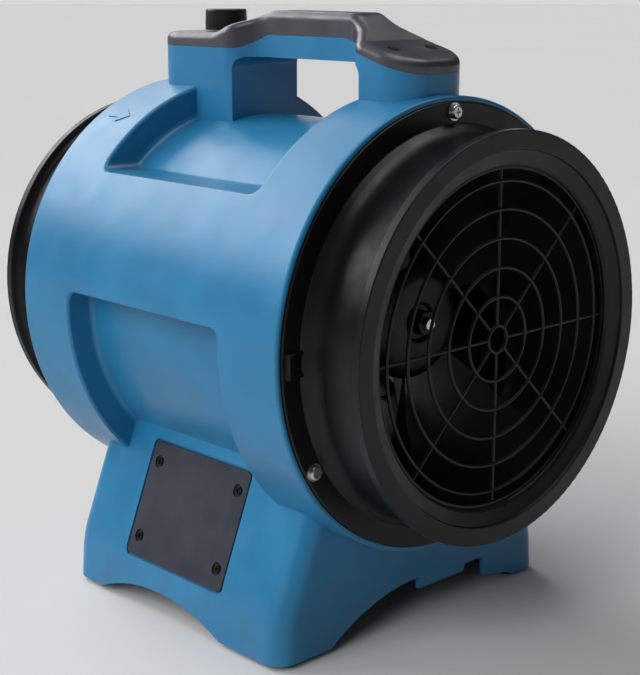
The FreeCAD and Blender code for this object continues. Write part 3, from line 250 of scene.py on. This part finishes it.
def moulded_shell():
    """Blue moulded polyethylene: satin, faintly mottled, with fine orange peel and light scuffs."""
    finish = Finish("housing_blue", 0.35, Specular_IOR_Level=0.36, Coat_Weight=0.06, Coat_Roughness=0.30)
    colour = finish.patches(shade(SHELL_BLUE, 0.93), shade(SHELL_BLUE, 1.08), span=(0.3, 0.7),
                            grain=0.060, detail=5.0, distortion=0.4)
    colour = finish.patches(colour, SHELL_SPECKLE, span=(0.62, 0.74), most=0.12, grain=0.0016)
    colour = finish.patches(colour, SHELL_SCUFF, span=(0.66, 0.80), most=0.16,
                            grain=0.004, detail=4.0, stretch=(1.0, 0.10, 1.0))
    low_down = finish.remap(finish.height_above_floor(), span=(0.0, GRIME_HEIGHT), result=(1.0, 0.0))
    dirt = finish.remap(finish.noise(grain=0.018, detail=5.0), span=(0.35, 0.75), result=(0.0, 0.35))
    colour = finish.mix(finish.multiply(low_down, dirt), colour, SHELL_GRIME)
    roughness = finish.remap(finish.noise(grain=0.030, detail=4.0), span=(0.30, 0.72), result=(0.30, 0.40))
    finish.pebble(grain=0.030, depth=0.00025)
    finish.pebble(grain=0.0035, depth=0.000035)
    finish.pebble(grain=0.0006, depth=0.000010, detail=1.0)
    return finish.done(colour, roughness)


DUST = (0.11, 0.113, 0.125)
RUBBED_BLACK = (0.09, 0.09, 0.105)


def black_moulding(name, colour, roughness, grain, depth, dust=0.10, gloss=0.28):
    """Black moulded plastic with a fine spark texture, faint dust and rubbed streaks."""
    finish = Finish(name, roughness, Specular_IOR_Level=gloss)
    tone = finish.patches(shade(colour, 0.85), shade(colour, 1.2), span=(0.3, 0.7), grain=0.035, detail=5.0)
    tone = finish.patches(tone, DUST, span=(0.60, 0.75), most=dust, grain=0.0012)
    tone = finish.patches(tone, RUBBED_BLACK, span=(0.66, 0.80), most=dust * 1.5,
                          grain=0.005, detail=4.0, stretch=(1.0, 0.12, 1.0))
    uneven = finish.remap(finish.noise(grain=0.022, detail=4.0), span=(0.30, 0.70),
                          result=(roughness - 0.06, roughness + 0.08))
    finish.pebble(grain=0.014, depth=0.00012)
    finish.bump(finish.cells(grain), depth)
    return finish.done(tone, uneven)


def turned_metal(name, colour, roughness, tarnish=0.15):
    """Machined or plated metal with fine tool marks and slightly uneven polish."""
    finish = Finish(name, roughness, metallic=1.0)
    tone = finish.patches(colour, shade(colour, 0.45), span=(0.40, 0.75), most=tarnish,
                          grain=0.006, detail=4.0)
    marks = finish.noise(grain=0.0004, stretch=(1.0, 6.0, 1.0))
    uneven = finish.remap(marks, span=(0.30, 0.70), result=(roughness - 0.08, roughness + 0.12))
    finish.bump(marks, depth=0.000008)
    return finish.done(tone, uneven)


def laminated_steel():
    """Stator and rotor stack: thin punched sheets seen edge on."""
    finish = Finish("core_steel", 0.45, metallic=0.9)
    sheets = finish.waves(density=320.0, wave_type="BANDS", bands_direction="Y")
    tone = finish.mix(sheets, (0.10, 0.10, 0.11), (0.32, 0.31, 0.30))
    finish.bump(sheets, depth=0.00006)
    return finish.done(tone)


def enamelled_wire():
    """Coil heads: rows of enamelled copper wire."""
    finish = Finish("copper", 0.30, metallic=0.6, Coat_Weight=0.5, Coat_Roughness=0.15)
    strands = finish.waves(density=220.0, distortion=1.5, wave_type="RINGS", rings_direction="Y")
    tone = finish.mix(strands, (0.20, 0.07, 0.03), (0.62, 0.27, 0.12))
    finish.bump(strands, depth=0.0003)
    return finish.done(tone)


def cast_metal():
    """Die-cast alloy with a slightly pebbled skin."""
    finish = Finish("cast_alloy", 0.48, metallic=0.9)
    tone = finish.mix(finish.noise(grain=0.010, detail=5.0), (0.36, 0.36, 0.37), (0.56, 0.56, 0.58))
    finish.pebble(grain=0.0009, depth=0.00005, detail=3.0)
    return finish.done(tone)


def sprayed_metal(name, colour):
    """Painted sheet metal with orange peel."""
    finish = Finish(name, 0.4, Coat_Weight=0.2, Coat_Roughness=0.25)
    tone = finish.mix(finish.noise(grain=0.020, detail=4.0), shade(colour, 0.85), shade(colour, 1.15))
    finish.pebble(grain=0.0018, depth=0.00003)
    return finish.done(tone)


def foot_rubber():
    """Matte moulded rubber with a dusty skin."""
    finish = Finish("rubber", 0.85, Specular_IOR_Level=0.3)
    tone = finish.patches((0.016, 0.016, 0.017), (0.060, 0.058, 0.055), span=(0.40, 0.70), most=0.35,
                          grain=0.004, detail=4.0)
    finish.pebble(grain=0.0007, depth=0.00006, detail=3.0)
    return finish.done(tone)


def pale_floor():
    """Matte studio floor, very faintly uneven."""
    finish = Finish("floor", 0.75, Specular_IOR_Level=0.2)
    tone = finish.mix(finish.noise(grain=0.9, detail=3.0), (0.63, 0.63, 0.63), (0.66, 0.66, 0.66))
    finish.pebble(grain=0.003, depth=0.00008, detail=3.0)
    return finish.done(tone)


def all_finishes():
    """One material for each material slot of the record."""
    return {
        "housing_blue": moulded_shell(),
        "black_plastic": black_moulding("black_plastic", (0.0042, 0.0042, 0.0046), roughness=0.35,
                                        grain=0.0009, depth=0.00003, dust=0.03, gloss=0.27),
        "grip_black": black_moulding("grip_black", (0.031, 0.029, 0.040), roughness=0.37,
                                     grain=0.0011, depth=0.00004, gloss=0.85),
        "cover_grey": black_moulding("cover_grey", (0.028, 0.031, 0.043), roughness=0.50,
                                     grain=0.0008, depth=0.00006, dust=0.16),
        "knob_black": black_moulding("knob_black", (0.008, 0.008, 0.009), roughness=0.34,
                                     grain=0.0006, depth=0.00002, dust=0.05),
        "rubber": foot_rubber(),
        "stainless": turned_metal("stainless", (0.60, 0.59, 0.57), 0.26),
        "black_steel": turned_metal("black_steel", (0.035, 0.035, 0.038), 0.42),
        "galvanised": turned_metal("galvanised", (0.50, 0.51, 0.53), 0.38, tarnish=0.3),
        "duct_grey": black_moulding("duct_grey", (0.008, 0.008, 0.009), roughness=0.52,
                                    grain=0.0010, depth=0.00004),
        "motor_paint": sprayed_metal("motor_paint", (0.035, 0.035, 0.038)),
        "cast_alloy": cast_metal(),
        "core_steel": laminated_steel(),
        "copper": enamelled_wire(),
        "bearing_steel": turned_metal("bearing_steel", (0.68, 0.68, 0.70), 0.16, tarnish=0.05),
        "brass": turned_metal("brass", (0.62, 0.44, 0.16), 0.28),
        "capacitor_can": sprayed_metal("capacitor_can", (0.62, 0.62, 0.58)),
        "terminal_plastic": sprayed_metal("terminal_plastic", (0.40, 0.41, 0.41)),
    }


def dress_cad_nodes(finishes):
    for part in frame["record"]["subparts"]:
        mesh = frame["nodes"][part["node"]].data
        mesh.materials.clear()
        mesh.materials.append(finishes[part["material_slot"]])


# ---------------------------------------------------------------- raised mark

ARROW_LENGTH = 0.026
ARROW_HEAD_LENGTH = 0.012
ARROW_HEAD_HALF_WIDTH = 0.0085
ARROW_SHAFT_HALF_WIDTH = 0.0032
ARROW_FROM_BARREL_END = 0.016
ARROW_HEIGHT = 0.0007
ARROW_ROOT = 0.0004
ARROW_BEVEL = 0.0003
ARROW_BEVEL_SEGMENTS = 3
ARROW_ANGLE = math.radians(58)


def add_airflow_arrow(material):
    """Moulded arrow on the rear band of the barrel, pointing the way the air leaves."""
    barrel_low, barrel_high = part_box("housing_left")
    duct_low, duct_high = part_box("fan_shroud")
    axis = (duct_low + duct_high) / 2
    barrel_radius = axis.x - barrel_low.x
    tail = barrel_high.y - ARROW_FROM_BARREL_END
    tip = tail - ARROW_LENGTH
    neck = tip + ARROW_HEAD_LENGTH
    half_outline = [(0.0, tip), (ARROW_HEAD_HALF_WIDTH, neck), (ARROW_SHAFT_HALF_WIDTH, neck),
                    (ARROW_SHAFT_HALF_WIDTH, tail)]
    outline = half_outline + [(-across, along) for across, along in reversed(half_outline[1:])]

    def on_barrel(across, along, height):
        angle = ARROW_ANGLE + across / barrel_radius
        reach = barrel_radius + height
        return Vector((axis.x - reach * math.cos(angle), along, axis.z + reach * math.sin(angle)))

    shape = bmesh.new()
    root, top = [[shape.verts.new(on_barrel(across, along, height)) for across, along in outline]
                 for height in (-ARROW_ROOT, ARROW_HEIGHT)]
    for index in range(len(outline)):
        after = (index + 1) % len(outline)
        shape.faces.new((root[index], root[after], top[after], top[index]))
    caps = [shape.faces.new(top), shape.faces.new(list(reversed(root)))]
    bmesh.ops.triangulate(shape, faces=caps)
    bmesh.ops.recalc_face_normals(shape, faces=shape.faces)
    mesh = bpy.data.meshes.new("airflow_arrow")
    shape.to_mesh(mesh)
    shape.free()
    arrow = bpy.data.objects.new("airflow_arrow", mesh)
    bpy.context.scene.collection.objects.link(arrow)
    soften = arrow.modifiers.new("soften", "BEVEL")
    soften.width = ARROW_BEVEL
    soften.segments = ARROW_BEVEL_SEGMENTS
    soften.limit_method = "ANGLE"
    arrow.data.materials.append(material)
    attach(arrow, "housing")


# ---------------------------------------------------------------- floor and backdrop

FLOOR_HALF = 30.0
BACKDROP_RADIUS = 29.0
BACKDROP_HEIGHT = 30.0
BACKDROP_SEGMENTS = 96
BACKDROP_COLOUR = (0.68, 0.69, 0.69, 1.0)
BLACK = (0.0, 0.0, 0.0, 1.0)


def add_floor():
    mesh = bpy.data.meshes.new("floor")
    h = FLOOR_HALF
    mesh.from_pydata([(-h, -h, 0), (h, -h, 0), (h, h, 0), (-h, h, 0)], [], [(0, 1, 2, 3)])
    floor = bpy.data.objects.new("floor", mesh)
    floor.data.materials.append(pale_floor())
    bpy.context.scene.collection.objects.link(floor)


def add_backdrop():
    """Pale round wall that closes the view above the floor; it neither lights the object nor shades it."""
    material = bpy.data.materials.new("backdrop")
    material.use_nodes = True
    surface = material.node_tree.nodes["Principled BSDF"]
    surface.inputs["Base Color"].default_value = BLACK
    surface.inputs["Specular IOR Level"].default_value = 0.0
    surface.inputs["Emission Color"].default_value = BACKDROP_COLOUR
    surface.inputs["Emission Strength"].default_value = 1.0
    shape = bmesh.new()
    bmesh.ops.create_cone(shape, segments=BACKDROP_SEGMENTS, radius1=BACKDROP_RADIUS, radius2=BACKDROP_RADIUS,
                          depth=BACKDROP_HEIGHT)
    bmesh.ops.translate(shape, verts=shape.verts, vec=(0, 0, BACKDROP_HEIGHT / 2))
    mesh = bpy.data.meshes.new("backdrop")
    shape.to_mesh(mesh)
    shape.free()
    mesh.materials.append(material)
    backdrop = bpy.data.objects.new("backdrop", mesh)
    backdrop.visible_diffuse = False
    backdrop.visible_glossy = False
    backdrop.visible_transmission = False
    backdrop.visible_shadow = False
    bpy.context.scene.collection.objects.link(backdrop)


# ---------------------------------------------------------------- the scene

finishes = all_finishes()
dress_cad_nodes(finishes)
add_airflow_arrow(finishes["housing_blue"])
add_floor()
add_backdrop()
add_world()
for name, settings in SUNS.items():
    add_sun(name, *settings)
for name, settings in SOFTBOXES.items():
    add_softbox(name, *settings)
add_camera()
bpy.context.scene.view_settings.view_transform = "Standard"
